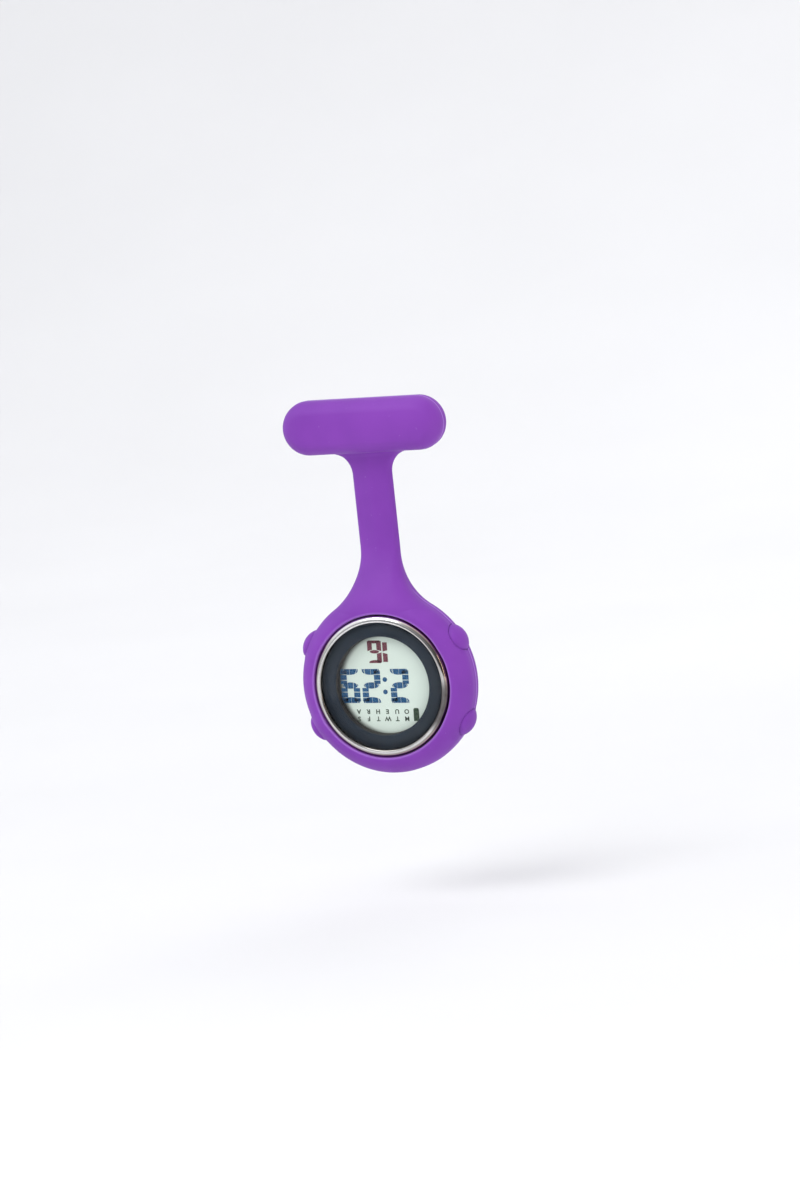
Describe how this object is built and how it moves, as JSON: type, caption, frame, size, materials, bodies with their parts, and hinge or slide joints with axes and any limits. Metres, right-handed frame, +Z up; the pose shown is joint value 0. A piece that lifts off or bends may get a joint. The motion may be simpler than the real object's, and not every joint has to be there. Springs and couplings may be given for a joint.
{
  "type": "fob watch",
  "caption": "Digital nurse's fob watch: round LCD watch with side buttons in a soft silicone holder that hangs from a brooch pin.",
  "frame": {"origin": "middle of the brooch pin's free span, on the pin's axis", "axes": "+X along the pin towards its tip (to the right as the watch is seen from the front), -Y out of the watch's face, +Z up as the watch hangs"},
  "size_m": [0.041, 0.0155, 0.085],
  "materials": {
    "silicone": "matte",
    "chrome": "polished",
    "clear_lens": "polished",
    "dial_grey": "satin",
    "case_plastic": "satin",
    "steel": "brushed",
    "display": "satin",
    "reflector_foil": "satin",
    "zebra_rubber": "matte",
    "board": "satin",
    "epoxy": "gloss",
    "brass": "satin",
    "seal_rubber": "matte",
    "spring_steel": "drawn",
    "ink": "matte"
  },
  "bodies": {
    "holder": {"holder_bar": "silicone", "holder_neck": "silicone", "brooch_plate": "steel", "hinge_rivet": "steel"},
    "watch": {"holder_ring": "silicone", "case_body": "case_plastic", "bezel": "chrome", "lens": "clear_lens", "case_back": "steel", "back_screws": "steel", "display_glass": "display", "display_reflector": "reflector_foil", "zebra_strips": "zebra_rubber", "module_frame": "case_plastic", "contact_leaves": "brass", "circuit_board": "board", "chip_drop": "epoxy", "quartz_crystal": "steel", "button_cell": "steel", "cell_strap": "spring_steel", "buzzer_disc": "brass", "buzzer_spring": "spring_steel", "dial_ring": "dial_grey", "display_spacer": "case_plastic", "back_gasket": "seal_rubber", "plunger_spring_upper_right": "spring_steel", "plunger_spring_upper_left": "spring_steel", "plunger_spring_lower_left": "spring_steel", "plunger_spring_lower_right": "spring_steel"},
    "pin": {"pin_stem": "steel"},
    "catch": {"safety_catch": "steel"},
    "button_upper_right": {"button_pad_upper_right": "silicone", "plunger_upper_right": "steel", "plunger_clip_upper_right": "spring_steel"},
    "button_upper_left": {"button_pad_upper_left": "silicone", "plunger_upper_left": "steel", "plunger_clip_upper_left": "spring_steel"},
    "button_lower_left": {"button_pad_lower_left": "silicone", "plunger_lower_left": "steel", "plunger_clip_lower_left": "spring_steel"},
    "button_lower_right": {"button_pad_lower_right": "silicone", "plunger_lower_right": "steel", "plunger_clip_lower_right": "spring_steel"}
  },
  "joints": [
    {"name": "neck_flex", "type": "hinge", "parent": "holder", "child": "watch", "pos_m": [0, -0.0042, -0.0195], "axis": [-1, 0, 0], "range_deg": [-30, 110], "stiffness_Nm_per_rad": 0.0024, "springref_deg": 11.46, "deforming": ["holder_neck"]},
    {"name": "pin_swing", "type": "hinge", "parent": "holder", "child": "pin", "pos_m": [-0.012, 0, 0], "axis": [0, 0, 1], "range_deg": [0, 60]},
    {"name": "catch_turn", "type": "hinge", "parent": "holder", "child": "catch", "pos_m": [0.0129, 0, 0], "axis": [1, 0, 0], "range_deg": [0, 90]},
    {"name": "button_press_upper_right", "type": "slide", "parent": "watch", "child": "button_upper_right", "axis": [-0.8788, 0, -0.4772], "range_m": [0, 0.0007], "stiffness_N_per_m": 2000, "deforming": ["plunger_spring_upper_right"]},
    {"name": "button_press_upper_left", "type": "slide", "parent": "watch", "child": "button_upper_left", "axis": [0.8788, 0, -0.4772], "range_m": [0, 0.0007], "stiffness_N_per_m": 2000, "deforming": ["plunger_spring_upper_left"]},
    {"name": "button_press_lower_left", "type": "slide", "parent": "watch", "child": "button_lower_left", "axis": [0.8788, 0, 0.4772], "range_m": [0, 0.0007], "stiffness_N_per_m": 2000, "deforming": ["plunger_spring_lower_left"]},
    {"name": "button_press_lower_right", "type": "slide", "parent": "watch", "child": "button_lower_right", "axis": [-0.8788, 0, 0.4772], "range_m": [0, 0.0007], "stiffness_N_per_m": 2000, "deforming": ["plunger_spring_lower_right"]}
  ]
}
